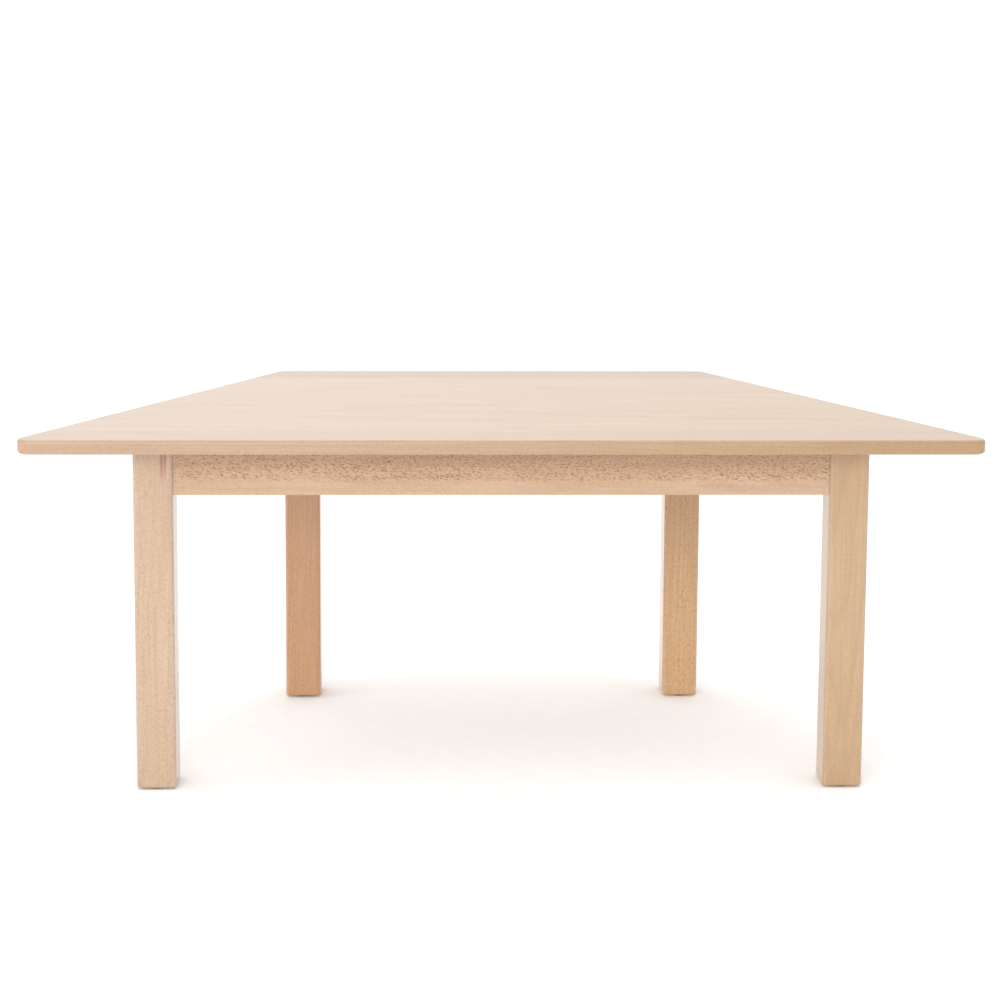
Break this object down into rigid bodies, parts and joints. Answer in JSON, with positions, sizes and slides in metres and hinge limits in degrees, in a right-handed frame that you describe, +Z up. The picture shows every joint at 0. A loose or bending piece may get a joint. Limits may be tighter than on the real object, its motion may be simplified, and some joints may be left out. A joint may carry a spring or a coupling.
{
  "type": "trapezoidal table",
  "caption": "Low table with a trapezoidal top on square legs joined by rails under the top; it stands free and pairs with others into a hexagon.",
  "frame": {"origin": "on the floor under the middle of the top, at the bottom centre of the bounding box", "axes": "+X to the right along the long front edge, +Y from the long edge to the short edge, +Z up"},
  "size_m": [1.192, 0.52, 0.46],
  "materials": {
    "tabletop_beech": "pale lacquered beech, satin",
    "frame_beech": "lacquered beech, satin",
    "inner_beech": "bare sawn beech, matt",
    "glide_plastic": "dark brown moulded plastic, matt",
    "bracket_steel": "zinc-plated pressed steel",
    "screw_steel": "zinc-plated steel"
  },
  "bodies": {
    "root": {"bracket_screws": "screw_steel", "corner_block_screws": "screw_steel", "front_left_corner_block": "inner_beech", "front_left_foot_glide": "glide_plastic", "front_left_leg": "frame_beech", "front_rail": "frame_beech", "front_right_corner_block": "inner_beech", "front_right_foot_glide": "glide_plastic", "front_right_leg": "frame_beech", "left_side_rail": "frame_beech", "rail_dowels": "inner_beech", "rear_left_corner_block": "inner_beech", "rear_left_foot_glide": "glide_plastic", "rear_left_leg": "frame_beech", "rear_rail": "frame_beech", "rear_right_corner_block": "inner_beech", "rear_right_foot_glide": "glide_plastic", "rear_right_leg": "frame_beech", "right_side_rail": "frame_beech", "tabletop_board_1": "tabletop_beech", "tabletop_board_2": "tabletop_beech", "tabletop_board_3": "tabletop_beech", "tabletop_board_4": "tabletop_beech", "tabletop_board_5": "tabletop_beech", "tabletop_board_6": "tabletop_beech", "tabletop_board_7": "tabletop_beech", "tabletop_board_8": "tabletop_beech", "top_fixing_brackets": "bracket_steel"}
  },
  "joints": []
}
